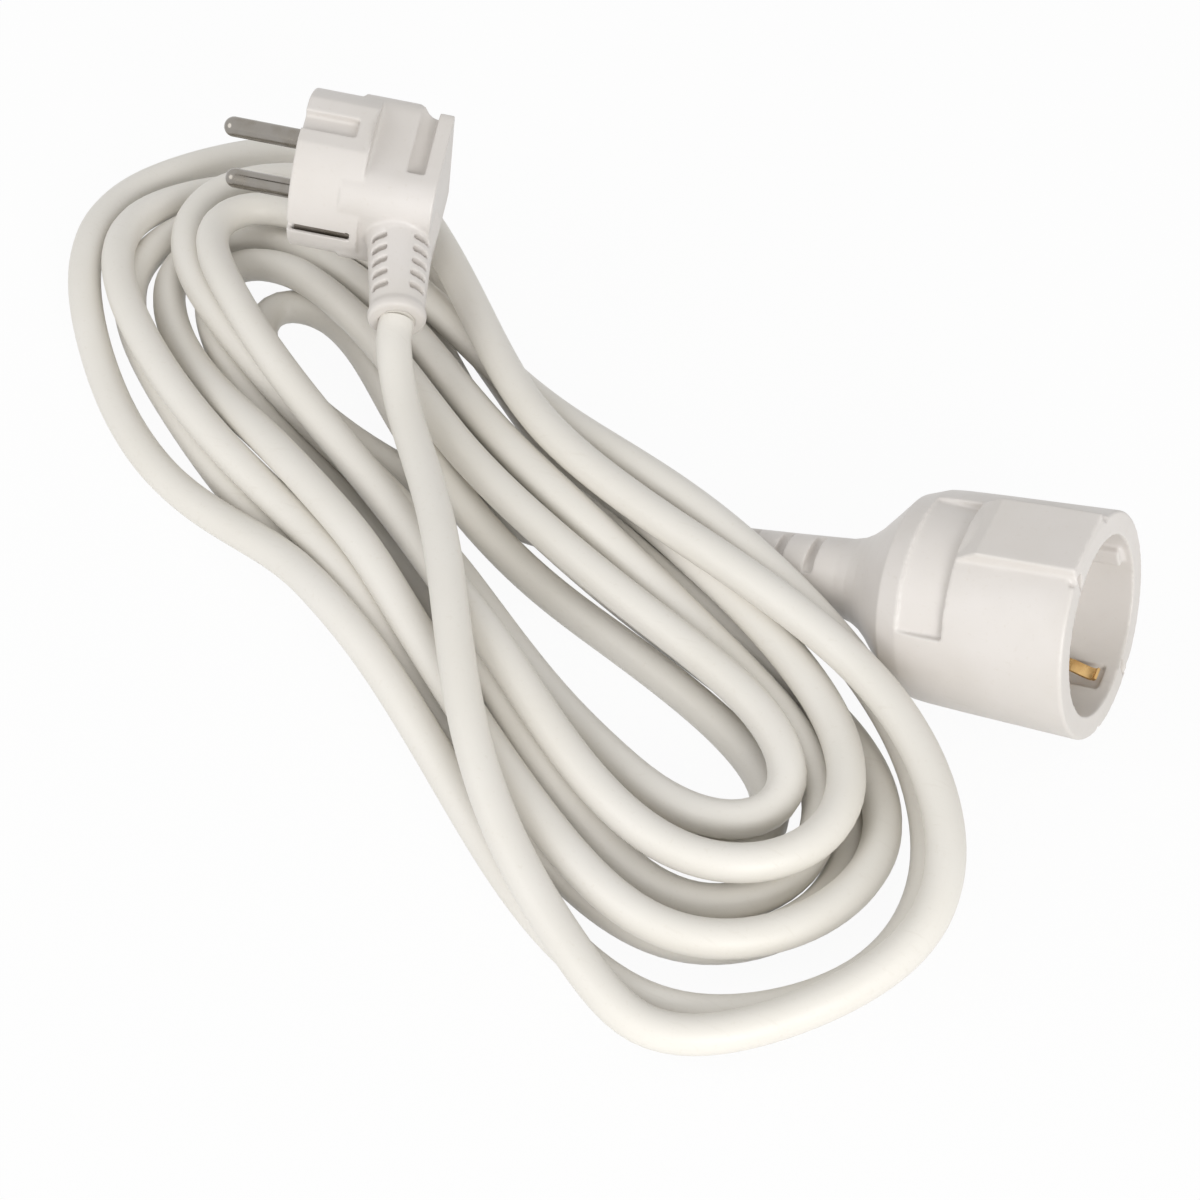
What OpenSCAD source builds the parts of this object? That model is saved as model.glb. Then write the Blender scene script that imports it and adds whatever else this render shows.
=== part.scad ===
// Extension cord: an angled two-pin earthed plug, about five metres of round three-core
// cord laid in a hank, and a round coupler socket.
// The origin is on the floor under the middle of the socket, +X points along the
// socket towards its mouth, +Z is up. All sizes are in millimetres.

/* [Cord] */
// Outer diameter of the cord's sheath
cord_d = 8.2; // [8:0.1:8.4]
// Outer diameter of one insulated core
core_d = 2.7; // [2.4:0.1:3]

/* [Socket] */
// Length of the socket from its cord end to its mouth
socket_len = 88; // [86:1:92]
// Radius of the mouth ring
rim_r = 24.5; // [24:0.1:26]
// Radius of the recess that takes the plug's face
recess_r = 19.7; // [19.5:0.1:20]
// Depth of the recess
recess_depth = 17.5; // [17:0.1:18]
// Radius of the insert behind the recess
insert_r = 20.8; // [20.6:0.1:21]
// Radius of a pin hole
pin_hole_r = 2.7; // [2.6:0.05:2.8]
// Turn of the socket about its own axis
socket_roll = 12; // [0:1:20]
// Tilt of the socket as it lies on its shoulder
tilt = 11.4; // [10:0.1:13]

/* [Plug] */
// Diameter of a pin
pin_d = 4.8; // [4.7:0.05:4.9]
// Length of a pin outside the face
pin_len = 19; // [18.5:0.5:19.5]
// Distance between the two pins
pin_pitch = 19; // [18.5:0.5:19.5]
// Radius of the plug's face
face_r = 18.8; // [18.4:0.1:19.2]
// Depth of the plug's front disc
disc_depth = 17; // [16:0.5:18]
// Depth of the whole plug behind its face
plug_depth = 34; // [33:0.5:36]

/* [Hidden] */
$fn = 64;

// Clearance between a housing and what sits in it
seat_gap = 0.15;
// Clearance between the surfaces of two passes of cord where they cross
cord_gap = 0.68;
// Overshoot of a cutting tool past the face it cuts
eps = 0.1;

cord_r = cord_d / 2;
core_r = core_d / 2;
pin_r = pin_d / 2;
pin_y = pin_pitch / 2;

// Socket stations, measured along its axis from the cord end
entry_plate = 4;
insert_len = 16.5;
recess_x0 = socket_len - recess_depth;
insert_x0 = recess_x0 - insert_len;
relief_len = insert_x0 - 24;
relief_r0 = 6.7;
relief_r1 = 8.8;
chamber_x0 = relief_len + 6;
chamber_x1 = chamber_x0 + 7;
chamber_r0 = 7;
chamber_r1 = 13.6;
cord_end_x = chamber_x0 + 1;
contact_r = 3.1;
contact_wall = 0.8;
contact_x0 = insert_x0 + 1;
contact_x1 = recess_x0 - entry_plate - seat_gap;
crimp_r = 1.9;
crimp_x0 = insert_x0 - 8;
bracket_t = 0.8;
bracket_w = 6;
bracket_r = 20.1;
bracket_x0 = insert_x0 - 1.6;
tongue_r = 17.4;
earth_slot_w = bracket_w + 2 * seat_gap;
guide_w = 4.6;
guide_r = 17.9;
plate_w = 17;
plate_x0 = socket_len - 22;
plate_x1 = socket_len - 1.8;
plate_h = 24.9;
plate_turn = -6;
grip_from = -148;
grip_arc = 86;
grip_x0 = relief_len + 19;
grip_x1 = insert_x0 + 7;

// Outline of the socket's moulding from neck to mouth, as [along, radius]
body_outline = [[relief_len, 0], [relief_len, relief_r1], [relief_len + 3, 9.6], [relief_len + 6, 11.6],
    [relief_len + 9, 14.8], [relief_len + 12, 18.2], [relief_len + 15, 20.9], [relief_len + 18, 22.2],
    [relief_len + 22, 23], [insert_x0 + 4, 23.4], [recess_x0 - 4.5, 23.8], [socket_len - 12, 24.1],
    [socket_len - 6, rim_r - 0.1], [socket_len - 1, rim_r], [socket_len, rim_r - 0.3], [socket_len, 0]];
// The socket lies on the lowest part of that outline
neck_lift = max([for (q = body_outline) q[1] * cos(tilt) - q[0] * sin(tilt)]);
socket_mid = (socket_len * cos(tilt) + (rim_r - relief_r0) * sin(tilt)) / 2;

// Plug: middle of its face, its turn, and how its cord leaves it
plug_at = [-177.6, 41.4, 48];
plug_turn = [76.8, -7.7, 199.2];
exit_at = [-27, 0, -16.2];
exit_slant = 9.4;
plug_relief_len = 24;
plug_relief_r0 = 7.8;
plug_relief_r1 = 6.5;
plug_chamber_r = 12.6;
plug_chamber_x1 = -28;
bridge_r = 13.4;
bridge_x0 = -4;
bridge_x1 = -13;
pin_root = -17;
pin_root_r = pin_r + 0.6;
pin_crimp_x = -23;
strap_t = 0.8;
strap_w = 6.6;
strap_r = 17.6;
strap_x = -14.2;
block_half = 14.6;
block_r = 17.6;
flange_t = 3.6;
// Finger grips ahead of the flange, on the top and on both sides of the block
top_grip_r = 5.4;
side_grip_r = 4.5;
side_grip_out = 1.5;
side_grip_low = 7.5;
// Flats and guide grooves on both sides of the front disc
guide_flat = 17.5;
groove_half = 2.7;
groove_floor = 15.4;
groove_len = 13;

// Hank of cord: its middle on the floor and its turn
hank_at = [-106.2, -6.2];
hank_turn = -28;
// Edge of the hank's opening at twelve stations round it, as [along, across], and
// the direction in which its strands stack outwards there, in degrees
coil_base = [[-60, -4, -90], [-100, -4, -130], [-112, 0, 180], [-100, 4, 130],
    [-60, 8, 90], [0, 6, 90], [60, 8, 90], [100, 6, 50],
    [110, 0, 0], [100, -6, -50], [60, -8, -90], [0, -6, -90]];
// How far each turn lies outwards from that edge, station by station. The turns
// are laid in this order, each over the ones before it
coil_lanes = [
    [7, -10, -12, -11, -6, -10, -4, 1, 6, 20, 20, 34],
    [36, 30, 22, 24, 8, -2, 6, 14, 26, 42, 35, 32],
    [36, 31, 30, 38, 18, 8, 14, 22, 31, 45, 32, 28],
    [27, 20, 13, 14, 10, 4, 6, 10, 20, 32, 23, 16],
    [18, 10, 2, 2, 0, -6, -3, 5, 10, 15, 12, 10],
    [14, 12, 18, 36, 27, 20, 17, 16, 22, 28, 21, 15],
    [14, 7, 6, 18, 20, 20, 24, 31, 45, 58, 42, 40],
    [49, 40, 42, 56, 26, 12, 15, 30, 52, 62]];
// Steepest climb of a laid cord, as height over length
coil_slope = 0.36;
// Points where the coil begins and ends, with straight run to the tails
coil_in = [[-138.6, 1.5, cord_r], [-147.6, 4.7, cord_r]];
coil_out = [[-18.6, -113, 14], [-28.6, -109.4, 15]];
coil_sides = 6;
tail_sides = 8;

// A point on the plug's cord exit, a distance beyond the strain relief
function turn_x(p, a) = [p.x, p.y * cos(a) - p.z * sin(a), p.y * sin(a) + p.z * cos(a)];
function turn_y(p, a) = [p.x * cos(a) + p.z * sin(a), p.y, p.z * cos(a) - p.x * sin(a)];
function turn_z(p, a) = [p.x * cos(a) - p.y * sin(a), p.x * sin(a) + p.y * cos(a), p.z];
function plug_exit(beyond) = let (q = exit_at + turn_y([0, 0, -plug_relief_len - beyond], exit_slant))
    plug_at + turn_z(turn_y(turn_x(q, plug_turn.x), plug_turn.y), plug_turn.z);

// A point of the socket's axis, and the free stretch between the socket and the hank
function socket_axis(x) = [x * cos(tilt) - socket_mid, 0, x * sin(tilt) + neck_lift];
connector_tail = [socket_axis(0), socket_axis(-9),
    [-61, -0.9, 7.4], [-68.5, -2.3, 4.9], [-76, -3.4, 4.15],
    [-85, -4.4, 4.15], [-93, -4.5, 4.15], [-102, -4.2, 4.15],
    [-111, -3.8, 4.15], [-120.6, -3, 4.15], [-129.6, -1.7, cord_r], coil_in[0]];
// Free stretch between the hank and the plug
plug_tail = [coil_out[1], [-38.6, -105.8, 17], [-47.6, -100.6, 20],
    [-56.6, -93.2, 23.4], [-63.6, -84.6, 26.4], [-71.6, -73.6, 29],
    [-78.6, -63.6, 30.6], [-85.6, -53, 31.6], [-92.6, -42.2, 32.6],
    [-100.6, -30.4, 33.6], [-108.6, -18.6, 34.8], [-116.6, -7, 36],
    plug_exit(9), plug_exit(0)];

// ---- Frames ----
module in_socket() {
    translate([-socket_mid, 0, neck_lift]) rotate([0, -tilt, 0]) rotate([socket_roll, 0, 0])
        children();
}

module in_plug() {
    translate(plug_at) rotate(plug_turn) children();
}

module in_exit() {
    in_plug() translate(exit_at) rotate([0, exit_slant, 0]) children();
}

// A round bar along +X from x0 to x1
module bar(x0, x1, r) {
    translate([x0, 0, 0]) rotate([0, 90, 0]) cylinder(h = x1 - x0, r = r);
}

// A tapered round bar along +X
module taper(x0, x1, r0, r1) {
    translate([x0, 0, 0]) rotate([0, 90, 0]) cylinder(h = x1 - x0, r1 = r0, r2 = r1);
}

// ---- Swept cord ----
function unit(v) = v / norm(v);
function tangent(p, k) = unit(p[min(k + 1, len(p) - 1)] - p[max(k - 1, 0)]);
function ring(p, k, r, sides, ref) =
    let (t = tangent(p, k), a = unit(cross(ref, t)), b = cross(t, a))
    [for (s = [0 : sides - 1]) let (q = 360 * (s + 0.5) / sides) p[k] + r * (a * cos(q) + b * sin(q))];

// Round cord along the points p; ref is a direction that the cord never runs along
module cord(p, r, sides, ref = [0, 0, 1]) {
    n = len(p);
    points = [for (k = [0 : n - 1]) each ring(p, k, r, sides, ref)];
    walls = [for (k = [0 : n - 2], s = [0 : sides - 1])
        let (a = k * sides + s, b = k * sides + (s + 1) % sides)
        each [[a, b, b + sides], [a, b + sides, a + sides]]];
    caps = [for (s = [1 : sides - 2])
        each [[0, s + 1, s], [(n - 1) * sides, (n - 1) * sides + s, (n - 1) * sides + s + 1]]];
    polyhedron(points = points, faces = concat(walls, caps), convexity = 10);
}

// ---- Coil: laid turn by turn ----
function in_hank(p) = [hank_at.x + p.x * cos(hank_turn) - p.y * sin(hank_turn),
    hank_at.y + p.x * sin(hank_turn) + p.y * cos(hank_turn)];

coil_stations = [for (turn = coil_lanes, k = [0 : len(turn) - 1]) let (b = coil_base[k])
    in_hank([b.x + turn[k] * cos(b.z), b.y + turn[k] * sin(b.z)])];
function flat(p) = [p.x, p.y];
coil_ends = concat([flat(coil_in[1])], coil_stations, [flat(coil_out[0])]);

// Route seen from above: the stations, with a smooth point between each two
coil_plan = concat([flat(coil_in[0])],
    [for (k = [0 : len(coil_ends) - 2])
        each (k == 0 || k == len(coil_ends) - 2
            ? [coil_ends[k]]
            : [coil_ends[k], (9 * (coil_ends[k] + coil_ends[k + 1]) - coil_ends[k - 1] - coil_ends[k + 2]) / 16])],
    [flat(coil_out[0]), flat(coil_out[1])]);

function clamp(v) = min(max(v, 0), 1);
// Distance from a point to the stretch from a to b, and the place of its foot there
function foot(p, a, b) = let (e = b - a, t = clamp((p - a) * e / (e * e))) [norm(p - a - e * t), t];
// Places where one stretch passes another, seen from above: [distance, place on a, place on b]
function passes(a0, a1, b0, b1, steps = [0, 0.5, 1]) =
    let (r = a1 - a0, s = b1 - b0, w = b0 - a0, den = r.x * s.y - r.y * s.x,
        u = den == 0 ? -1 : (w.x * s.y - w.y * s.x) / den,
        v = den == 0 ? -1 : (w.x * r.y - w.y * r.x) / den)
    concat([for (t = steps) let (c = foot(a0 + t * r, b0, b1)) [c[0], t, c[1]]],
        [for (t = [0, 0.5, 1]) let (c = foot(b0 + t * s, a0, a1)) [c[0], c[1], t]],
        u >= 0 && u <= 1 && v >= 0 && v <= 1 ? [[0, u, v]] : []);

// What the coil also lies over: the socket's neck and the cord behind it, as [from, to, radius]
neck_steps = [1, 0.73, 0.4, 0.13, -0.03];
function neck_part(a, b) = [socket_axis(a * relief_len), socket_axis(b * relief_len),
    relief_r0 + 0.15 + (relief_r1 - relief_r0) * (a + b) / 2];
under_coil = concat([for (k = [0 : 3]) neck_part(neck_steps[k], neck_steps[k + 1])],
    [for (k = [0 : len(connector_tail) - 3]) [connector_tail[k], connector_tail[k + 1], cord_r]]);
function over_parts(a0, a1) = [for (o = under_coil)
    let (reach = o[2] + cord_r + cord_gap)
    if (norm(a0 + a1 - flat(o[0]) - flat(o[1])) < 90)
        for (c = passes(a0, a1, flat(o[0]), flat(o[1]), [0, 0.25, 0.5, 0.75, 1]))
            if (c[0] < reach)
                [c[1], -1, o[0].z + (o[1].z - o[0].z) * c[2], sqrt(reach * reach - c[0] * c[0])]];

// For each stretch of the route, what it lies on: [place on it, stretch below, place below, step up].
// Stretch -1 stands for a part that is not the coil, with its height in the third place
function lying_on(p, reach) = [for (j = [0 : len(p) - 2]) concat(j < 7 ? [] : over_parts(p[j], p[j + 1]),
    [for (i = [0 : 1 : j - 7])
        if (norm(p[j] + p[j + 1] - p[i] - p[i + 1]) < 84)
            for (c = passes(p[j], p[j + 1], p[i], p[i + 1]))
                if (c[0] < reach) [c[1], i, c[2], sqrt(reach * reach - c[0] * c[0])]])];

function at_place(z, i, t) = i < 0 ? t : z[i] * (1 - t) + z[i + 1] * t;
// Height that one end of a stretch needs, to clear what the stretch lies on
function end_need(z, list, far, climb) = max(concat([cord_r], [for (c = list)
    let (away = far ? 1 - c[0] : c[0])
    if (away < 0.75) at_place(z, c[1], c[2]) + c[3] + (away < 0.25 ? away * climb : 0)]));

// Settling: every point rests on what is below it, and no climb is too steep
function settle(p, below, floors, z, passes_left) = passes_left == 0 ? z :
    let (n = len(p),
        run = [for (k = [0 : n - 1]) k == 0 ? 0 : coil_slope * norm(p[k] - p[k - 1])],
        raw = [for (k = [0 : n - 1]) max(floors[k],
            k < n - 1 ? end_need(z, below[k], false, run[k + 1]) : 0,
            k > 0 ? end_need(z, below[k - 1], true, run[k]) : 0)],
        ahead = [for (k = 0, v = raw[0]; k < n; k = k + 1, v = k < n ? max(raw[k], v - run[k]) : v) v],
        back = [for (k = n - 1, v = ahead[n - 1]; k >= 0; k = k - 1,
            v = k >= 0 ? max(ahead[k], v - run[k + 1]) : v) v])
    settle(p, below, floors, [for (k = [0 : n - 1]) back[n - 1 - k]], passes_left - 1);

function coil_path() =
    let (p = coil_plan, n = len(p), below = lying_on(p, cord_d + cord_gap),
        floors = [for (k = [0 : n - 1]) k >= n - 2 ? coil_out[k - n + 2].z : cord_r],
        z = settle(p, below, floors, [for (k = [0 : n - 1]) cord_r], 16))
    [for (k = [0 : n - 1]) [p[k].x, p[k].y, z[k]]];

// Least distance between two straight stretches in space
function space_gap(p1, q1, p2, q2) =
    let (d1 = q1 - p1, d2 = q2 - p2, r = p1 - p2, a = d1 * d1, e = d2 * d2, f = d2 * r, c = d1 * r, b = d1 * d2,
        den = a * e - b * b, s0 = den > 0.001 ? clamp((b * f - c * e) / den) : 0, t0 = (b * s0 + f) / e,
        s = t0 < 0 ? clamp(-c / a) : t0 > 1 ? clamp((b - c) / a) : s0, t = clamp(t0))
    norm(p1 + d1 * s - p2 - d2 * t);
function least_gap(p) = min([for (i = [0 : len(p) - 9], j = [i + 7 : len(p) - 2])
    if (norm(p[i] - p[j]) < 60) space_gap(p[i], p[i + 1], p[j], p[j + 1])]) - cord_d;

module cord_coil() {
    path = coil_path();
    echo(coil_gap = least_gap(path), coil_top = max([for (q = path) q.z]) + cord_r);
    color("ivory") cord(path, cord_r, coil_sides);
}

module cord_tail_connector() {
    color("ivory") cord(connector_tail, cord_r, tail_sides);
}

module cord_tail_plug() {
    color("ivory") cord(plug_tail, cord_r, tail_sides);
}

// ---- Socket ----
module turned(outline) {
    rotate([0, 90, 0]) rotate([0, 0, 180]) rotate_extrude() polygon([for (q = outline) [q[1], q[0]]]);
}

// Finger grip: a shallow recess across one side of the shoulder
module socket_grip() {
    rotate([0, 90, 0]) rotate([0, 0, 180]) rotate([0, 0, grip_from]) rotate_extrude(angle = grip_arc)
        polygon([[22.2, grip_x0], [27, grip_x0], [27, grip_x1], [21.8, grip_x1]]);
}

module connector_body() {
    color("ivory") in_socket() difference() {
        union() {
            turned(body_outline);
            // Flat raised plate on the top of the barrel, with a ramp at its back
            rotate([plate_turn, 0, 0]) translate([0, plate_w / 2, 0]) rotate([90, 0, 0])
                linear_extrude(height = plate_w) polygon([[plate_x0 - 4, 15], [plate_x0 - 4, 22.6], [plate_x0, plate_h],
                    [plate_x1, plate_h], [plate_x1, 15]]);
        }
        for (turn = [0, 180]) rotate([turn, 0, 0]) socket_grip();
        bar(recess_x0 - eps, socket_len + eps, recess_r);
        bar(insert_x0 - seat_gap, recess_x0, insert_r + seat_gap);
        bar(chamber_x1, insert_x0, chamber_r1);
        bar(chamber_x0, chamber_x1 + eps, chamber_r0);
        bar(relief_len - eps, chamber_x0 + eps, cord_r + seat_gap);
        // Slots for the earth bracket, at the top and the bottom of the recess
        for (side = [0, 180]) rotate([side, 0, 0])
            translate([bracket_x0 - seat_gap, -earth_slot_w / 2, 10])
                cube([socket_len - 3 - bracket_x0, earth_slot_w, bracket_r + 2 * seat_gap - 10]);
    }
    // Guide ribs on both sides of the recess
    color("ivory") in_socket() for (side = [0, 180]) rotate([side, 0, 0])
        intersection() {
            translate([recess_x0 + eps, guide_r, -guide_w / 2]) cube([recess_depth - 2.5, 3, guide_w]);
            bar(recess_x0, socket_len, recess_r + 1);
        }
}

module connector_insert() {
    color("white") in_socket() difference() {
        bar(insert_x0, recess_x0, insert_r);
        for (side = [-1, 1]) translate([0, side * pin_y, 0]) {
            bar(recess_x0 - entry_plate - eps, recess_x0 + eps, pin_hole_r);
            bar(insert_x0 - eps, recess_x0 - entry_plate, contact_r + seat_gap);
        }
        for (side = [0, 180]) rotate([side, 0, 0])
            translate([insert_x0 - eps, -earth_slot_w / 2, bracket_r - bracket_t - seat_gap])
                cube([recess_x0 - insert_x0 + 2 * eps, earth_slot_w, 4]);
    }
}

// Strain relief of the socket, a tapered boot with slots on two sides
module connector_strain_relief() {
    color("ivory") in_socket() difference() {
        union() {
            taper(2, relief_len, relief_r0 + 0.15, relief_r1);
            bar(0, 2 + eps, relief_r0);
        }
        bar(-eps, relief_len + eps, cord_r + seat_gap);
        for (k = [0 : 2], side = [0, 180]) rotate([side, 0, 0])
            translate([6 + (relief_len - 6) * k / 3, -4.5, 5.6 + 0.5 * k]) cube([2.4, 9, 6]);
    }
}

// Slotted sleeve that grips a pin, with its crimp barrel behind it
module contact(side) {
    color("gold") in_socket() translate([0, side * pin_y, 0]) difference() {
        union() {
            bar(contact_x0, contact_x1, contact_r);
            bar(crimp_x0, contact_x0 + eps, crimp_r);
        }
        bar(contact_x0 + 1, contact_x1 + eps, contact_r - contact_wall);
        bar(crimp_x0 - eps, crimp_x0 + 5, core_r);
        translate([contact_x0 + 2.5, -0.4, 0]) cube([contact_x1 - contact_x0, 0.8, contact_r + 1]);
    }
}

module line_contact() contact(1);
module neutral_contact() contact(-1);

// Brass strip across the back of the insert with a sprung tongue on each side
module connector_earth_bracket() {
    bend = recess_x0 + 1;
    tongue = [[bracket_x0, bracket_r - bracket_t], [bend, bracket_r - bracket_t], [bend + 7, tongue_r - bracket_t],
        [bend + 13, bracket_r - bracket_t - 0.6], [bend + 13, bracket_r - 0.6], [bend + 7, tongue_r],
        [bend, bracket_r], [bracket_x0, bracket_r]];
    color("gold") in_socket() {
        for (side = [0, 180]) rotate([side, 0, 0]) translate([0, bracket_w / 2, 0]) rotate([90, 0, 0])
            linear_extrude(height = bracket_w) polygon(tongue);
        translate([bracket_x0, -bracket_w / 2, -bracket_r + 0.1]) cube([bracket_t, bracket_w, 2 * bracket_r - 0.2]);
        difference() {
            bar(crimp_x0, bracket_x0 + 0.2, crimp_r);
            bar(crimp_x0 - eps, crimp_x0 + 5, core_r);
        }
    }
}

// Core of the cord from its sheath to a crimp, in the socket
module connector_core(tint, y, z) {
    run = crimp_x0 + 5 - cord_end_x;
    color(tint) in_socket() cord([for (k = [0 : 8]) let (s = clamp((k - 1) / 4.5), e = s * s * (3 - 2 * s))
        [cord_end_x + run * k / 8, y[0] * (1 - e) + y[1] * e, z[0] * (1 - e) + z[1] * e]],
        core_r - 0.05, tail_sides);
}

module connector_line_core() connector_core("saddlebrown", [1.6, pin_y], [0.9, 0]);
module connector_neutral_core() connector_core("royalblue", [-1.6, -pin_y], [0.9, 0]);
module connector_earth_core() connector_core("yellowgreen", [0, 0], [-1.8, 0]);

module connector_cord_end() {
    color("ivory") in_socket() bar(0, cord_end_x, cord_r);
}

// ---- Plug ----
// What the finger grips take off the block
module plug_grips() {
    flange_x = -plug_depth + flange_t;
    for (side = [0, 180]) rotate([side, 0, 0]) intersection() {
        translate([flange_x, block_half + side_grip_out, -face_r]) cylinder(h = 2 * face_r, r = side_grip_r);
        translate([flange_x, 0, side == 0 ? -side_grip_low : -face_r]) cube([10, face_r, face_r + side_grip_low]);
    }
    translate([flange_x, -face_r, block_r]) rotate([-90, 0, 0]) cylinder(h = 2 * face_r, r = top_grip_r);
    translate([-plug_depth - eps, -face_r, block_r - top_grip_r]) cube([flange_t + eps, 2 * face_r, 2 * top_grip_r]);
}

module plug_body() {
    color("ivory") difference() {
        in_plug() difference() {
            union() {
                bar(-disc_depth, 0, face_r);
                intersection() {
                    bar(-plug_depth, -disc_depth + eps, block_r);
                    translate([-plug_depth, -block_half, -block_r]) cube([plug_depth, 2 * block_half, 2 * block_r]);
                }
            }
            plug_grips();
            for (side = [0, 180]) rotate([side, 0, 0]) {
                translate([-disc_depth, guide_flat, -face_r]) cube([disc_depth + eps, 5, 2 * face_r]);
                translate([-groove_len, groove_floor, -groove_half]) cube([groove_len + eps, 5, 2 * groove_half]);
            }
            bar(bridge_x1 - seat_gap, bridge_x0 + seat_gap, bridge_r + seat_gap);
            bar(plug_chamber_x1, bridge_x1, plug_chamber_r);
            for (side = [-1, 1]) translate([0, side * pin_y, 0]) bar(bridge_x0, eps, pin_root_r + 0.05);
            // Flats and slots for the earth strap
            for (side = [0, 180]) rotate([side, 0, 0]) {
                translate([strap_x - strap_t - seat_gap, -strap_w / 2 - seat_gap, strap_r - strap_t - seat_gap])
                    cube([-strap_x + strap_t + 2, strap_w + 2 * seat_gap, 4]);
                translate([strap_x - strap_t - seat_gap, -strap_w / 2 - seat_gap, 8])
                    cube([strap_t + 2 * seat_gap, strap_w + 2 * seat_gap, strap_r - 8]);
            }
        }
        in_exit() translate([0, 0, -30]) cylinder(h = 38, r = cord_r + seat_gap);
        in_exit() translate([0, 0, -30]) cylinder(h = 30, r = plug_relief_r0 + seat_gap);
    }
}

module plug_bridge() {
    color("white") in_plug() difference() {
        bar(bridge_x1, bridge_x0, bridge_r);
        for (side = [-1, 1]) translate([0, side * pin_y, 0]) bar(bridge_x1 - eps, bridge_x0 + eps, pin_root_r + 0.05);
    }
}

// Round pin with a domed tip and a crimp barrel at its root
module pin(side) {
    color("silver") in_plug() translate([0, side * pin_y, 0]) difference() {
        union() {
            bar(pin_root, 0, pin_root_r);
            bar(-eps, pin_len - pin_r, pin_r);
            translate([pin_len - pin_r, 0, 0]) sphere(r = pin_r);
            bar(pin_crimp_x, pin_root + eps, crimp_r);
        }
        bar(pin_crimp_x - eps, pin_crimp_x + 5, core_r);
    }
}

module line_pin() pin(1);
module neutral_pin() pin(-1);

// Earth strap: a bar behind the bridge and a contact on each side of the disc
module plug_earth_strap() {
    color("gold") in_plug() {
        difference() {
            translate([strap_x - strap_t, -strap_w / 2, -strap_r]) cube([strap_t, strap_w, 2 * strap_r]);
            translate([strap_x - strap_t - eps, 0, 0]) bar(0, 0.3, 0.5);
        }
        for (side = [0, 180]) rotate([side, 0, 0])
            translate([strap_x - strap_t, -strap_w / 2, strap_r - strap_t]) cube([-strap_x - 1, strap_w, strap_t]);
        difference() {
            bar(strap_x - strap_t - 6, strap_x - strap_t + 0.1, crimp_r);
            bar(strap_x - strap_t - 6 - eps, strap_x - strap_t - 1, core_r);
        }
    }
}

// Core of the cord from its sheath to a crimp, in the plug
module plug_core(tint, route) {
    color(tint) in_plug() cord(route, core_r - 0.05, tail_sides, [0, 1, 0.01]);
}

module plug_line_core() plug_core("saddlebrown",
    [[-24.9, 1.6, -8.4], [-25.1, 2.4, -7], [-25.4, 5.6, -3.5], [-25.4, pin_y - 0.9, -0.8],
    [pin_crimp_x - 1.4, pin_y, 0], [pin_crimp_x + 0.2, pin_y, 0], [pin_crimp_x + 4.5, pin_y, 0]]);
module plug_neutral_core() plug_core("royalblue",
    [[-24.9, -1.6, -8.4], [-25.1, -2.4, -7], [-25.4, -5.6, -3.5], [-25.4, -pin_y + 0.9, -0.8],
    [pin_crimp_x - 1.4, -pin_y, 0], [pin_crimp_x + 0.2, -pin_y, 0], [pin_crimp_x + 4.5, -pin_y, 0]]);
module plug_earth_core() plug_core("yellowgreen",
    [[-27.3, 0, -8.0], [-27, 0, -6], [-25.8, 0, -2.4], [-23.8, 0, -0.4], [-22, 0, 0], [-20.8, 0, 0], [-16.2, 0, 0]]);

module plug_cord_end() {
    color("ivory") in_exit() translate([0, 0, -plug_relief_len]) cylinder(h = plug_relief_len + 7.4, r = cord_r);
}

// Strain relief of the plug, a tapered boot with two rows of slots and an end collar
module plug_strain_relief() {
    color("ivory") in_exit() difference() {
        translate([0, 0, -plug_relief_len]) union() {
            cylinder(h = plug_relief_len, r1 = plug_relief_r1, r2 = plug_relief_r0);
            cylinder(h = 4, r = plug_relief_r1 + 0.4);
        }
        translate([0, 0, -plug_relief_len - eps]) cylinder(h = plug_relief_len + 1, r = cord_r + seat_gap);
        for (k = [0 : 4], side = [0, 90, 180, 270]) rotate([0, 0, side + 45])
            translate([5.4, -2.2, -6.2 - 3 * k]) cube([4, 4.4, 1.4]);
    }
}

connector_body();
connector_insert();
connector_strain_relief();
line_contact();
neutral_contact();
connector_earth_bracket();
connector_line_core();
connector_neutral_core();
connector_earth_core();
connector_cord_end();
plug_body();
plug_bridge();
line_pin();
neutral_pin();
plug_earth_strap();
plug_line_core();
plug_neutral_core();
plug_earth_core();
plug_cord_end();
plug_strain_relief();
cord_tail_connector();
cord_coil();
cord_tail_plug();
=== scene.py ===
"""Extension cord: angled earthed plug, hank of round cord, round trailing socket.

All places are in metres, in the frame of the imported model: +X along the socket
towards its mouth, +Z up from the floor. Moulded shapes are built in millimetres in
the frame of the socket, of the plug or of the plug's cord exit, and placed at the end.
"""
import math

import bmesh
import bpy
import numpy as np
from mathutils import Matrix, Vector


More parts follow.
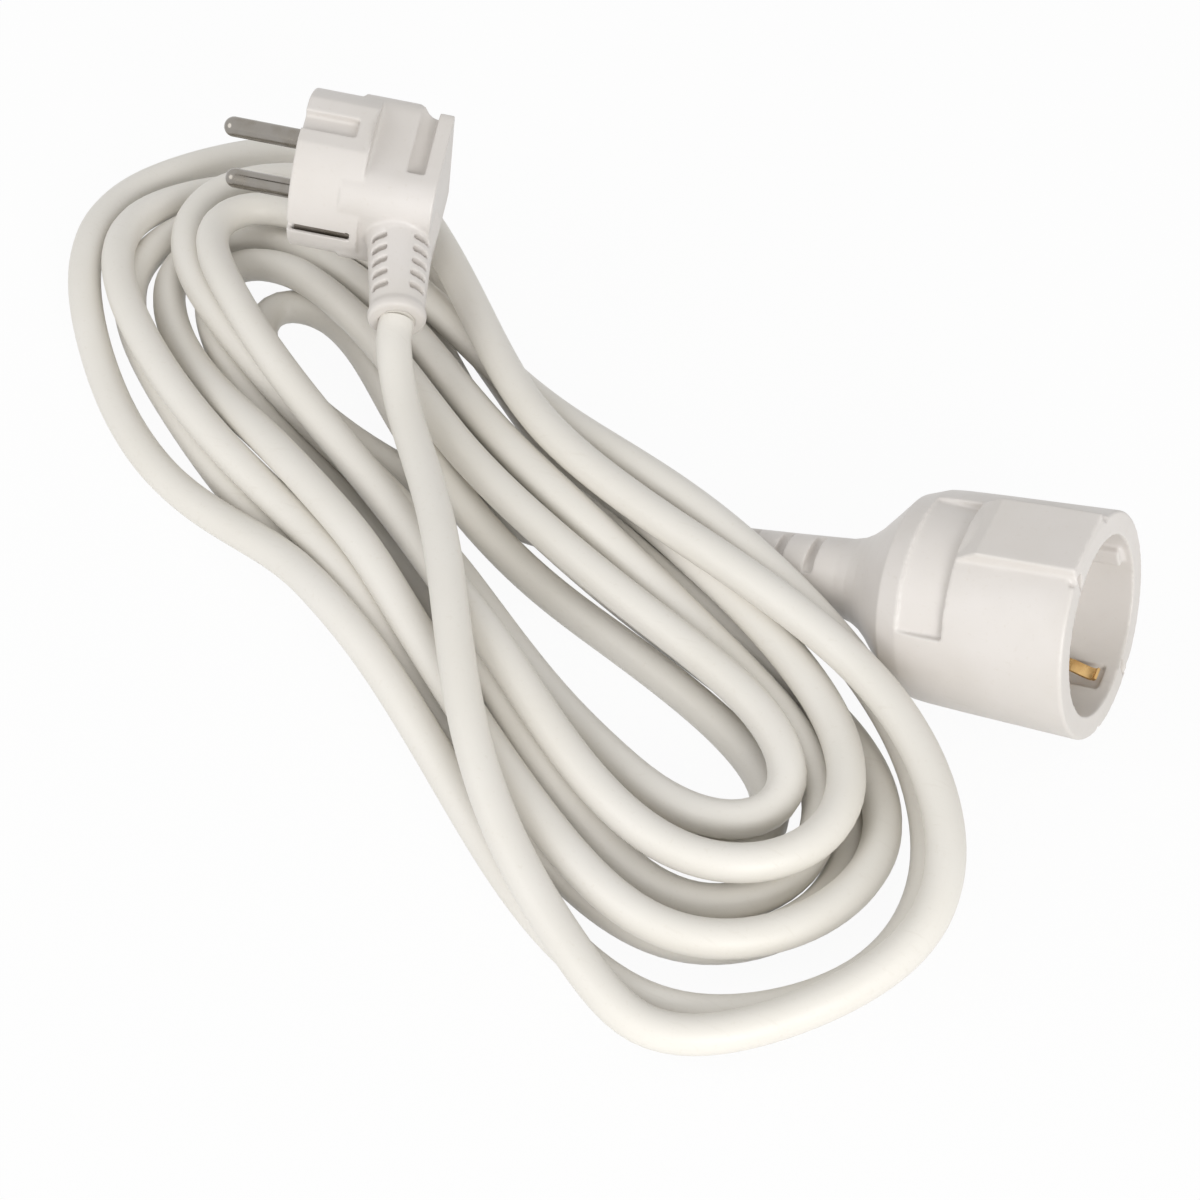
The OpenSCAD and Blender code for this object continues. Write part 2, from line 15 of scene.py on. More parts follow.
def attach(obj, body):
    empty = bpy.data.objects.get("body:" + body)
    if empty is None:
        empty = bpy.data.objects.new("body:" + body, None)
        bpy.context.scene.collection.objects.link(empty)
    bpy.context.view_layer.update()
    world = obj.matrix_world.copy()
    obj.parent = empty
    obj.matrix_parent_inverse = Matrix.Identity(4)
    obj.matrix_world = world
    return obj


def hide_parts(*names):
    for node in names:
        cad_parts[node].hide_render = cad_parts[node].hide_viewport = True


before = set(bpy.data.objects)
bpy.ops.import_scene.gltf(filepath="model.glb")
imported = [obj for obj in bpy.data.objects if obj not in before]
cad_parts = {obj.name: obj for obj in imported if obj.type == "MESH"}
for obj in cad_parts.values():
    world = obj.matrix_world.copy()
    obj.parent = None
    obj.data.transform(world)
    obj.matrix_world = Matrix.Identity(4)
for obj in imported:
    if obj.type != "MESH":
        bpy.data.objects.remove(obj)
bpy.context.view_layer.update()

bl_info = {
    "name": "Extension Cord",
    "version": (1, 0, 0),
    "blender": (4, 5, 0),
    "location": "3D View > Sidebar > Extension Cord",
    "description": "Builds an earthed extension cord with its plug, socket and hank of cord",
    "category": "Add Mesh",
}

MM = 0.001


# ---------------------------------------------------------------- settings

class CordSettings(bpy.types.PropertyGroup):
    """Sizes and colour of the cord."""
    diameter: bpy.props.FloatProperty(
        name="Diameter", description="Outer diameter of the sheath",
        default=0.0082, min=0.006, max=0.0084, subtype="DISTANCE", unit="LENGTH")
    length: bpy.props.FloatProperty(
        name="Length", description="Length of the cord from plug to socket",
        default=4.88, min=1.0, max=10.0, subtype="DISTANCE", unit="LENGTH")
    colour: bpy.props.FloatVectorProperty(
        name="Sheath", description="Colour of the sheath", subtype="COLOR", size=3,
        default=(0.80, 0.772, 0.72), min=0.0, max=1.0)


class SocketSettings(bpy.types.PropertyGroup):
    """Sizes and colours of the trailing socket."""
    length: bpy.props.FloatProperty(
        name="Length", description="Length from the cord end to the mouth",
        default=0.088, min=0.08, max=0.1, subtype="DISTANCE", unit="LENGTH")
    rim_radius: bpy.props.FloatProperty(
        name="Rim Radius", description="Outer radius of the mouth ring",
        default=0.0245, min=0.024, max=0.026, subtype="DISTANCE", unit="LENGTH")
    colour: bpy.props.FloatVectorProperty(
        name="Moulding", description="Colour of the moulded housings", subtype="COLOR",
        size=3, default=(0.71, 0.675, 0.645), min=0.0, max=1.0)
    insert_colour: bpy.props.FloatVectorProperty(
        name="Insert", description="Colour of the insulating inserts", subtype="COLOR",
        size=3, default=(0.80, 0.79, 0.76), min=0.0, max=1.0)
    brass_colour: bpy.props.FloatVectorProperty(
        name="Contacts", description="Colour of the pressed contacts", subtype="COLOR",
        size=3, default=(0.70, 0.46, 0.20), min=0.0, max=1.0)


class PlugSettings(bpy.types.PropertyGroup):
    """Sizes and colours of the plug."""
    face_radius: bpy.props.FloatProperty(
        name="Face Radius", description="Radius of the plug's face",
        default=0.0188, min=0.018, max=0.0195, subtype="DISTANCE", unit="LENGTH")
    depth: bpy.props.FloatProperty(
        name="Depth", description="Depth of the plug behind its face",
        default=0.034, min=0.03, max=0.04, subtype="DISTANCE", unit="LENGTH")
    pin_colour: bpy.props.FloatVectorProperty(
        name="Pins", description="Colour of the plated pins", subtype="COLOR", size=3,
        default=(0.31, 0.29, 0.265), min=0.0, max=1.0)


class StageSettings(bpy.types.PropertyGroup):
    """Light and background."""
    key_power: bpy.props.FloatProperty(
        name="Key Lamp", description="Power of the large soft lamp", default=13.5,
        min=0.0, unit="POWER")
    fill_power: bpy.props.FloatProperty(
        name="Fill Lamp", description="Power of the fill lamp", default=5.0,
        min=0.0, unit="POWER")
    room_level: bpy.props.FloatProperty(
        name="Room Level", description="Strength of the light from all around",
        default=0.64, min=0.0, max=1.0, subtype="FACTOR")


# ---------------------------------------------------------------- frames

def turned(x, y, z):
    """Turn by x, then y, then z degrees about the fixed axes."""
    return (Matrix.Rotation(math.radians(z), 4, "Z")
            @ Matrix.Rotation(math.radians(y), 4, "Y")
            @ Matrix.Rotation(math.radians(x), 4, "X"))


# Socket: its lean on the shoulder, the roll of its plate, and how high its cord end is
SOCKET_LEN = 88
TILT = 11.4
SOCKET_ROLL = 12
NECK_LIFT = 12.274
RIM_OVER_NECK = 17.8
SOCKET_MID = (SOCKET_LEN * math.cos(math.radians(TILT))
              + RIM_OVER_NECK * math.sin(math.radians(TILT))) / 2
IN_SOCKET = (Matrix.Translation((-SOCKET_MID, 0, NECK_LIFT))
             @ turned(0, -TILT, 0) @ turned(SOCKET_ROLL, 0, 0))

# Plug: middle of its face, its turn, and how its cord leaves it
PLUG_AT = (-177.6, 41.4, 48)
PLUG_TURN = (76.8, -7.7, 199.2)
EXIT_AT = (-27, 0, -16.2)
EXIT_SLANT = 9.4
BOOT_LEN = 24
BOOT_R = 7.8
IN_PLUG = Matrix.Translation(PLUG_AT) @ turned(*PLUG_TURN)
IN_EXIT = IN_PLUG @ Matrix.Translation(EXIT_AT) @ turned(0, EXIT_SLANT, 0)
TO_EXIT = Matrix.Translation(EXIT_AT) @ turned(0, EXIT_SLANT, 0)


def socket_axis(x):
    """Point of the socket's axis, x millimetres from its cord end."""
    return Vector((x * math.cos(math.radians(TILT)) - SOCKET_MID, 0,
                   x * math.sin(math.radians(TILT)) + NECK_LIFT))


def plug_exit(beyond):
    """Point of the plug's cord, a distance beyond its strain relief."""
    return IN_EXIT @ Vector((0, 0, -BOOT_LEN - beyond))


# ---------------------------------------------------------------- cord route

CORD_R = 4.1
CORD_GAP = 0.68
CLIMB = 0.36
HANK_AT = Vector((-106.2, -6.2))
HANK_TURN = math.radians(-28)
# Edge of the hank's opening at twelve stations, as along, across and stacking direction
HANK_BASE = [(-60, -4, -90), (-100, -4, -130), (-112, 0, 180), (-100, 4, 130),
             (-60, 8, 90), (0, 6, 90), (60, 8, 90), (100, 6, 50),
             (110, 0, 0), (100, -6, -50), (60, -8, -90), (0, -6, -90)]
# How far out each turn lies at each station, in the order of laying
HANK_LANES = [
    [7, -10, -12, -11, -6, -10, -4, 1, 6, 20, 20, 34],
    [36, 30, 22, 24, 8, -2, 6, 14, 26, 42, 35, 32],
    [36, 31, 30, 38, 18, 8, 14, 22, 31, 45, 32, 28],
    [27, 20, 13, 14, 10, 4, 6, 10, 20, 32, 23, 16],
    [18, 10, 2, 2, 0, -6, -3, 5, 10, 15, 12, 10],
    [14, 12, 18, 36, 27, 20, 17, 16, 22, 28, 21, 15],
    [14, 7, 6, 18, 20, 20, 24, 31, 45, 58, 42, 40],
    [49, 40, 42, 56, 26, 12, 15, 28, 52, 69]]
HANK_IN = [(-138.6, 1.5), (-147.6, 4.7)]
HANK_OUT = [(-15.6, -115.5, 14), (-27.6, -110.6, 15)]
# The first fold of the hank, let out to the bend that the cord springs back to
FIRST_FOLD = [Vector(p) for p in (
    (-148, 4, 4.1), (-159, 6.2, 4.1), (-170, 9.6, 4.1), (-180.5, 15, 4.1), (-189, 23, 4.1),
    (-193.5, 33, 4.3), (-191.5, 42.5, 5.6), (-184, 48.2, 8), (-174.5, 47.4, 10.4),
    (-165.5, 41.4, 11.8), (-157.5, 32.6, 12), (-150.3, 23, 11.6))]
SOCKET_TAIL = [socket_axis(0), socket_axis(-9)] + [Vector(p) for p in (
    (-61, -0.9, 7.4), (-68.5, -2.3, 4.9), (-76, -3.4, 4.15), (-85, -4.4, 4.15),
    (-93, -4.5, 4.15), (-102, -4.2, 4.15), (-111, -3.8, 4.15), (-120.6, -3, 4.15),
    (-129.6, -1.7, 4.1), (-138.6, 1.5, 4.1))]
PLUG_TAIL = [Vector(p) for p in (
    (-27.6, -110.6, 15), (-38.6, -105.8, 17), (-47.6, -100.6, 20), (-56.6, -93.2, 23.4),
    (-63.6, -84.6, 26.4), (-71.6, -73.6, 29), (-78.6, -63.6, 30.6), (-85.6, -53, 31.6),
    (-92.6, -42.2, 32.6), (-100.6, -30.4, 33.6), (-108.6, -18.6, 34.8),
    (-116.6, -7, 36))] + [plug_exit(9), plug_exit(0)]
# The socket's neck, which the hank crosses: stations as shares of its length, and radius
NECK_LEN = 30
NECK_STEPS = (1, 0.73, 0.4, 0.13, -0.03)
NECK_R = 6.85
NECK_GROWS = 2.1
# A stretch never rests on its own next ones, and looks only at what is this near, twice over
BESIDE = 6
NEAR_PART = 90
NEAR_CORD = 84
HEIGHT_ROUNDS = 16


def clamp(v):
    return min(max(v, 0.0), 1.0)


def in_hank(x, y):
    """Point of the hank's own frame, from above."""
    c, s = math.cos(HANK_TURN), math.sin(HANK_TURN)
    return HANK_AT + Vector((x * c - y * s, x * s + y * c))


def hank_plan():
    """Route of the hank from above, with a smooth point between each two stations."""
    ends = [Vector(HANK_IN[1])]
    for turn in HANK_LANES:
        for (x, y, way), out in zip(HANK_BASE, turn):
            a = math.radians(way)
            ends.append(in_hank(x + out * math.cos(a), y + out * math.sin(a)))
    ends.append(Vector(HANK_OUT[0][:2]))
    plan = [Vector(HANK_IN[0])]
    last = len(ends) - 1
    for k in range(last):
        plan.append(ends[k])
        if 0 < k < last - 1:
            plan.append((9 * (ends[k] + ends[k + 1]) - ends[k - 1] - ends[k + 2]) / 16)
    return plan + [Vector(HANK_OUT[0][:2]), Vector(HANK_OUT[1][:2])]


def foot(p, a, b):
    """Distance of a point from a stretch, and the place of its foot on it."""
    e = b - a
    t = clamp((p - a).dot(e) / e.dot(e))
    return (p - a - e * t).length, t


def passes(a0, a1, b0, b1, steps=(0, 0.5, 1)):
    """Where one stretch passes another, from above: distance, place on each."""
    r, s, w = a1 - a0, b1 - b0, b0 - a0
    den = r.x * s.y - r.y * s.x
    found = []
    for t in steps:
        gap, q = foot(a0 + t * r, b0, b1)
        found.append((gap, t, q))
    for t in (0, 0.5, 1):
        gap, q = foot(b0 + t * s, a0, a1)
        found.append((gap, q, t))
    if den:
        u = (w.x * s.y - w.y * s.x) / den
        v = (w.x * r.y - w.y * r.x) / den
        if 0 <= u <= 1 and 0 <= v <= 1:
            found.append((0.0, u, v))
    return found


def under_hank():
    """Socket neck and the cord behind it, which the hank lies over: from, to, radius."""
    neck = [(socket_axis(a * NECK_LEN), socket_axis(b * NECK_LEN), NECK_R + NECK_GROWS * (a + b) / 2)
            for a, b in zip(NECK_STEPS, NECK_STEPS[1:])]
    return neck + [(a, b, CORD_R) for a, b in zip(SOCKET_TAIL[:-2], SOCKET_TAIL[1:-1])]


def lying_on(plan):
    """What each stretch rests on: place on it, stretch below, place below, step up.

    Stretch -1 stands for a part that isn't the hank, with its height in the third place.
    """
    parts = under_hank()
    reach = 2 * CORD_R + CORD_GAP
    below = []
    for j, (a0, a1) in enumerate(zip(plan, plan[1:])):
        rests = []
        if j > BESIDE:
            for b0, b1, radius in parts:
                wide = radius + CORD_R + CORD_GAP
                if (a0 + a1 - b0.xy - b1.xy).length < NEAR_PART:
                    for gap, u, v in passes(a0, a1, b0.xy, b1.xy, (0, 0.25, 0.5, 0.75, 1)):
                        if gap < wide:
                            height = b0.z + (b1.z - b0.z) * v
                            rests.append((u, -1, height, math.sqrt(wide * wide - gap * gap)))
        for i in range(j - BESIDE):
            if (a0 + a1 - plan[i] - plan[i + 1]).length < NEAR_CORD:
                for gap, u, v in passes(a0, a1, plan[i], plan[i + 1]):
                    if gap < reach:
                        rests.append((u, i, v, math.sqrt(reach * reach - gap * gap)))
        below.append(rests)
    return below


def end_need(z, rests, far, climb):
    """Height that one end of a stretch needs, to clear what the stretch rests on."""
    high = CORD_R
    for u, i, v, step in rests:
        away = 1 - u if far else u
        if away < 0.75:
            under = v if i < 0 else z[i] * (1 - v) + z[i + 1] * v
            high = max(high, under + step + (away * climb if away < 0.25 else 0))
    return high


def hank_path():
    """Route of the hank: every turn rests on what was laid before it."""
    plan = hank_plan()
    n = len(plan)
    below = lying_on(plan)
    run = [0.0] + [CLIMB * (b - a).length for a, b in zip(plan, plan[1:])]
    floors = [CORD_R] * n
    floors[-2:] = [p[2] for p in HANK_OUT]
    z = [CORD_R] * n
    for _ in range(HEIGHT_ROUNDS):
        raw = [max(floors[k],
                   end_need(z, below[k], False, run[k + 1]) if k < n - 1 else 0,
                   end_need(z, below[k - 1], True, run[k]) if k else 0) for k in range(n)]
        for k in range(1, n):
            raw[k] = max(raw[k], raw[k - 1] - run[k])
        for k in range(n - 2, -1, -1):
            raw[k] = max(raw[k], raw[k + 1] - run[k + 1])
        z = raw
    return [Vector((p.x, p.y, h)) for p, h in zip(plan, z)]


def let_out(path):
    """The hank's path with its first fold let out."""
    return [path[0]] + FIRST_FOLD + path[11:]


def spaced(points, step):
    """Even points along a smooth curve through the given points."""
    p = np.array([tuple(q) for q in points])
    ends = np.vstack([2 * p[0] - p[1], p, 2 * p[-1] - p[-2]])
    dense = []
    for k in range(len(p) - 1):
        a, b, c, d = ends[k:k + 4]
        for t in np.linspace(0, 1, 12, endpoint=False):
            dense.append(0.5 * (2 * b + (c - a) * t + (2 * a - 5 * b + 4 * c - d) * t * t
                                + (3 * b - a - 3 * c + d) * t ** 3))
    dense.append(p[-1])
    dense = np.array(dense)
    along = np.concatenate([[0], np.cumsum(np.linalg.norm(np.diff(dense, axis=0), axis=1))])
    wanted = np.linspace(0, along[-1], int(round(along[-1] / step)) + 1)
    return np.column_stack([np.interp(wanted, along, dense[:, k]) for k in range(3)])


# ---------------------------------------------------------------- cord at rest

# How the laid cord comes to rest, in millimetres and rounds
LAID_STEP = 4.0
DRAWN_STEP = 2.6
SETTLE_ROUNDS = 260
CALM_ROUNDS = 40
SINK = 0.02
TOUCH = 2 * CORD_R + 0.22
NEAR_STRAND = 15.0
PART_GAP = 0.15
OPEN_SAG = 3.2


def stiffened(p, stride, share):
    """Even out the bends, each over five points that are a stride apart."""
    q = p.copy()
    s = stride
    bend = p[:-4 * s] - 4 * p[s:-3 * s] + 6 * p[2 * s:-2 * s] - 4 * p[3 * s:-s] + p[4 * s:]
    q[2 * s:-2 * s] -= share * bend
    return q


def opened(p):
    """Open the bends that are tighter than the cord allows, a little at a time."""
    off = (p[:-6] + p[6:]) / 2 - p[3:-3]
    sag = np.linalg.norm(off, axis=1)
    p[3:-3] += off * (0.3 * np.clip(1 - OPEN_SAG / np.maximum(sag, 0.1), 0, 1))[:, None]


def pushed_apart(p, i, j):
    """Part the strands that are closer than touching."""
    way = p[i] - p[j]
    far = np.linalg.norm(way, axis=1)
    near = far < TOUCH
    i, j, way, far = i[near], j[near], way[near], far[near]
    push = way / far[:, None] * ((TOUCH - far) * 0.5)[:, None]
    total, count = np.zeros_like(p), np.zeros(len(p))
    np.add.at(total, i, push)
    np.add.at(total, j, -push)
    np.add.at(count, i, 1)
    np.add.at(count, j, 1)
    p += total / np.maximum(count, 1)[:, None] * 1.2


def pushed_off(p, parts, held):
    """Bring the strands clear of the socket's neck and the plug's strain relief."""
    for a, b, radius in parts:
        e = b - a
        t = np.clip((p - a) @ e / (e @ e), 0, 1)
        way = p - a - t[:, None] * e
        far = np.linalg.norm(way, axis=1)
        near = (far < radius + CORD_R + PART_GAP) & ~held
        near[:30] = near[-30:] = False
        p[near] += way[near] / far[near, None] * (radius + CORD_R + PART_GAP - far[near])[:, None]


def settled(p):
    """Let the laid cord come to rest: bends even out and passes touch, not cross."""
    n = len(p)
    start = p.copy()
    held = np.zeros(n, bool)
    held[:5] = held[-3:] = True
    # How strongly each point is drawn back to where it was laid, from above
    tied = np.full((n, 1), 0.03)
    tied[20:70] = 0.004
    tied[-40:] = 0.0
    boot = (np.array(plug_exit(0)), np.array(IN_EXIT @ Vector((0, 0, 2))), BOOT_R)
    parts = [(np.array(a), np.array(b), r) for a, b, r in under_hank()[:4]] + [boot]
    for k in range(SETTLE_ROUNDS):
        if k % 10 == 0:
            gap = ((p[:, None, :] - p[None, :, :]) ** 2).sum(2)
            i, j = np.where(np.triu(gap < NEAR_STRAND ** 2, 7))
        before = p.copy()
        loose = k < SETTLE_ROUNDS - CALM_ROUNDS
        if loose:
            p[:, 2] -= SINK
        p = stiffened(p, 1, 0.05)
        if loose:
            p = stiffened(p, 3, 0.035)
        opened(p)
        if loose:
            p[:, :2] += tied * (start[:, :2] - p[:, :2])
        for _ in range(2):
            pushed_apart(p, i, j)
            pushed_off(p, parts, held)
        p[:, 2] = np.maximum(p[:, 2], CORD_R)
        p[held] = before[held]
    return p


# ---------------------------------------------------------------- mesh helpers

MOST_FACES = 75000


def spun(outline, steps=96):
    """Solid of revolution about X from an outline of (along, radius)."""
    bm = bmesh.new()
    verts = [bm.verts.new((x, 0, r)) for x, r in outline]
    edges = [bm.edges.new(pair) for pair in zip(verts, verts[1:])]
    bmesh.ops.spin(bm, geom=verts + edges, cent=(0, 0, 0), axis=(1, 0, 0),
                   angle=2 * math.pi, steps=steps, use_merge=True)
    bmesh.ops.remove_doubles(bm, verts=bm.verts, dist=1e-4)
    bmesh.ops.recalc_face_normals(bm, faces=bm.faces)
    return bm


def bar(x0, x1, radius, at=(0, 0), sides=64):
    """Round bar along X."""
    place = Matrix.Translation(((x0 + x1) / 2, at[0], at[1])) @ turned(0, 90, 0)
    return rod(radius, x1 - x0, place, sides=sides)


def rod(radius, length, matrix, far_radius=None, sides=64):
    """Round bar along the Z axis of a frame."""
    bm = bmesh.new()
    bmesh.ops.create_cone(bm, cap_ends=True, cap_tris=False, segments=sides, radius1=radius,
                          radius2=radius if far_radius is None else far_radius, depth=length,
                          matrix=matrix)
    return bm


def block(low, high, round_by=0.0, segments=3, lengthwise=False):
    """Box between two corners, with its edges rounded, or only those along X."""
    bm = bmesh.new()
    low, high = Vector(low), Vector(high)
    size = high - low
    bmesh.ops.create_cube(bm, size=1, matrix=Matrix.Translation((low + high) / 2)
                          @ Matrix.Diagonal((size.x, size.y, size.z, 1)))
    if round_by:
        edges = [e for e in bm.edges
                 if not lengthwise or abs(e.verts[0].co.x - e.verts[1].co.x) > size.x / 2]
        bmesh.ops.bevel(bm, geom=edges, offset=round_by, offset_type="OFFSET",
                        affect="EDGES", segments=segments, profile=0.5, material=-1)
    return bm


def prism(outline, width):
    """Bar along Y with an outline of (along, height), centred on the X axis."""
    bm = bmesh.new()
    face = bm.faces.new([bm.verts.new((x, -width / 2, z)) for x, z in outline])
    far = bmesh.ops.extrude_face_region(bm, geom=[face])
    bmesh.ops.translate(bm, vec=(0, width, 0),
                        verts=[v for v in far["geom"] if isinstance(v, bmesh.types.BMVert)])
    bmesh.ops.recalc_face_normals(bm, faces=bm.faces)
    return bm


def moved(bm, matrix):
    """The same mesh, moved."""
    bmesh.ops.transform(bm, matrix=matrix, verts=bm.verts)
    return bm


def mesh_object(name, bm):
    """New object in the scene from a bmesh, which is freed."""
    mesh = bpy.data.meshes.new(name)
    bm.to_mesh(mesh)
    bm.free()
    obj = bpy.data.objects.new(name, mesh)
    bpy.context.scene.collection.objects.link(obj)
    return obj


def in_triangles(obj):
    """Cut every face into triangles, so that each one is flat."""
    bm = bmesh.new()
    bm.from_mesh(obj.data)
    bmesh.ops.triangulate(bm, faces=bm.faces[:])
    bm.to_mesh(obj.data)
    bm.free()


def baked(obj):
    """Apply the modifiers of an object."""
    bpy.context.view_layer.update()
    seen = obj.evaluated_get(bpy.context.evaluated_depsgraph_get())
    mesh = bpy.data.meshes.new_from_object(seen)
    old = obj.data
    obj.modifiers.clear()
    obj.data = mesh
    mesh.name = obj.name
    bpy.data.meshes.remove(old)
    return obj


def carved(name, base, joined=(), cuts=(), ribs=()):
    """Join, cut, then join closed shapes one by one, as one new object."""
    obj = mesh_object(name, base)
    for operation, shapes in (("UNION", joined), ("DIFFERENCE", cuts), ("UNION", ribs)):
        for shape in shapes:
            helper = mesh_object("helper", shape)
            in_triangles(obj)
            in_triangles(helper)
            modifier = obj.modifiers.new(operation.title(), "BOOLEAN")
            modifier.operation = operation
            modifier.solver = "EXACT"
            modifier.object = helper
            baked(obj)
            bpy.data.meshes.remove(helper.data)
    return obj


def moulded(obj, voxel, smooth, repeats):
    """Give carved shapes one continuous skin with soft moulded edges."""
    remesh = obj.modifiers.new("Skin", "REMESH")
    remesh.mode = "VOXEL"
    remesh.voxel_size = voxel * 1
    remesh.use_smooth_shade = True
    soften = obj.modifiers.new("Soften", "SMOOTH")
    soften.factor = smooth
    soften.iterations = repeats
    baked(obj)
    thin = obj.modifiers.new("Thin", "DECIMATE")
    thin.ratio = min(1.0, MOST_FACES / len(obj.data.polygons))
    return baked(obj)


def placed(obj, in_frame):
    """Bring a shape in millimetres to its place in metres."""
    obj.data.transform(Matrix.Diagonal((MM, MM, MM, 1)) @ in_frame)
    for polygon in obj.data.polygons:
        polygon.use_smooth = True
    obj.data.update()
    return obj


def finished(obj, material, slot, *nodes):
    """Dress a piece, tie it to the body and hide the nodes that it stands for."""
    obj.data.materials.clear()
    obj.data.materials.append(bpy.data.materials[material])
    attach(obj, "root")
    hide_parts(*nodes)


def dress(material, *nodes):
    """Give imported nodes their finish."""
    for node in nodes:
        obj = bpy.data.objects[node]
        if not obj.material_slots:
            obj.data.materials.append(bpy.data.materials[material])
        for place in obj.material_slots:
            place.material = bpy.data.materials[material]


# ---------------------------------------------------------------- node groups

def new_group(name, inputs, outputs):
    """Empty shader group with named sockets, and its two ends."""
    group = bpy.data.node_groups.new(name, "ShaderNodeTree")
    for title, kind, value in inputs:
        socket = group.interface.new_socket(title, in_out="INPUT", socket_type=kind)
        if value is not None:
            socket.default_value = value
    for title in outputs:
        group.interface.new_socket(title, in_out="OUTPUT", socket_type="NodeSocketFloat")
    return group, group.nodes.new("NodeGroupInput").outputs, group.nodes.new("NodeGroupOutput").inputs


def noise(tree, vector, scale, detail=2.0, roughness=0.5):
    """Noise over the surface; its scale is a number or a socket."""
    node = tree.nodes.new("ShaderNodeTexNoise")
    node.inputs["Detail"].default_value = detail
    node.inputs["Roughness"].default_value = roughness
    tree.links.new(vector, node.inputs["Vector"])
    if isinstance(scale, float):
        node.inputs["Scale"].default_value = scale
    else:
        tree.links.new(scale, node.inputs["Scale"])
    return node.outputs["Fac"]


def spread(tree, value, low, high):
    """Spread a value between low and high over 0 to 1."""
    node = tree.nodes.new("ShaderNodeMapRange")
    node.inputs["From Min"].default_value = low
    node.inputs["From Max"].default_value = high
    tree.links.new(value, node.inputs["Value"])
    return node.outputs["Result"]


def combined(tree, operation, *values):
    """Math node over sockets."""
    node = tree.nodes.new("ShaderNodeMath")
    node.operation = operation
    for value, socket in zip(values, node.inputs):
        tree.links.new(value, socket)
    return node.outputs["Value"]


def stretched(tree, vector, scale=(1.0, 1.0, 1.0), rotation=(0.0, 0.0, 0.0)):
    """Coordinates that are turned and stretched."""
    node = tree.nodes.new("ShaderNodeMapping")
    node.inputs["Rotation"].default_value = rotation
    node.inputs["Scale"].default_value = scale
    tree.links.new(vector, node.inputs["Vector"])
    return node.outputs["Vector"]


def mottle_group():
    """Slow drift of tone over a moulding, with soft specks in it."""
    group, given, result = new_group("soft_mottle", [
        ("Vector", "NodeSocketVector", None), ("Scale", "NodeSocketFloat", 40.0),
        ("Speck Scale", "NodeSocketFloat", 900.0)], ["Tone", "Speck"])
    cloud = noise(group, given["Vector"], given["Scale"], 3.0, 0.55)
    speck = noise(group, given["Vector"], given["Speck Scale"])
    group.links.new(spread(group, cloud, 0.3, 0.7), result["Tone"])
    group.links.new(spread(group, speck, 0.62, 0.74), result["Speck"])


def grain_group():
    """Fine grain of a mould's surface, as a height."""
    group, given, result = new_group("mould_grain", [
        ("Vector", "NodeSocketVector", None), ("Grain Scale", "NodeSocketFloat", 3200.0),
        ("Wave Scale", "NodeSocketFloat", 110.0), ("Wave", "NodeSocketFloat", 0.5)], ["Height"])
    fine = noise(group, given["Vector"], given["Grain Scale"])
    slow = noise(group, given["Vector"], given["Wave Scale"], 1.0)
    group.links.new(combined(group, "MULTIPLY_ADD", slow, given["Wave"], fine), result["Height"])


def scuff_group():
    """Faint scuffs from handling: long thin marks in patches."""
    group, given, result = new_group("handling_scuffs", [
        ("Vector", "NodeSocketVector", None), ("Scale", "NodeSocketFloat", 120.0),
        ("Patch Scale", "NodeSocketFloat", 30.0)], ["Scuff"])
    thin = stretched(group, given["Vector"], (1.0, 9.0, 3.0), (0.3, 0.7, 0.5))
    marks = spread(group, noise(group, thin, given["Scale"], 4.0), 0.6, 0.72)
    patch = spread(group, noise(group, given["Vector"], given["Patch Scale"]), 0.48, 0.62)
    group.links.new(combined(group, "MULTIPLY", marks, patch), result["Scuff"])


def drawn_group():
    """Lines left by drawing or pressing metal, along one direction."""
    group, given, result = new_group("drawn_lines", [
        ("Vector", "NodeSocketVector", None), ("Scale", "NodeSocketFloat", 1500.0)],
        ["Lines", "Stain"])
    along = stretched(group, given["Vector"], (0.03, 1.0, 1.0))
    stain = noise(group, given["Vector"], 260.0, 4.0)
    group.links.new(noise(group, along, given["Scale"], 3.0), result["Lines"])
    group.links.new(spread(group, stain, 0.42, 0.68), result["Stain"])


# ---------------------------------------------------------------- materials

def placed_group(tree, group, vector, **values):
    """Place a shader group with its own values."""
    node = tree.nodes.new("ShaderNodeGroup")
    node.node_tree = bpy.data.node_groups[group]
    tree.links.new(vector, node.inputs["Vector"])
    for title, value in values.items():
        node.inputs[title].default_value = value
    return node.outputs


def mixed(tree, mask, low, high):
    """Colour between two tones by a mask; low is a colour or a socket."""
    node = tree.nodes.new("ShaderNodeMix")
    node.data_type = "RGBA"
    node.inputs["B"].default_value = (*high, 1)
    tree.links.new(mask, node.inputs["Factor"])
    if isinstance(low, tuple):
        node.inputs["A"].default_value = (*low, 1)
    else:
        tree.links.new(low, node.inputs["A"])
    return node.outputs["Result"]


def ranged(tree, value, low, high):
    """Bring a mask from 0 to 1 to between low and high."""
    node = tree.nodes.new("ShaderNodeMapRange")
    node.inputs["To Min"].default_value = low
    node.inputs["To Max"].default_value = high
    tree.links.new(value, node.inputs["Value"])
    return node.outputs["Result"]


def raised(tree, height, strength, distance):
    """Normal from a height."""
    node = tree.nodes.new("ShaderNodeBump")
    node.inputs["Strength"].default_value = strength
    node.inputs["Distance"].default_value = distance
    tree.links.new(height, node.inputs["Height"])
    return node.outputs["Normal"]


def shade(colour, by):
    """The colour times a tone."""
    return tuple(min(max(c * k, 0.0), 1.0) for c, k in zip(colour, by))


def new_material(name):
    """Material with its tree, the sockets of its shader and Object coordinates."""
    material = bpy.data.materials.new(name)
    material.use_nodes = True
    tree = material.node_tree
    coords = tree.nodes.new("ShaderNodeTexCoord").outputs["Object"]
    return tree, tree.nodes["Principled BSDF"].inputs, coords


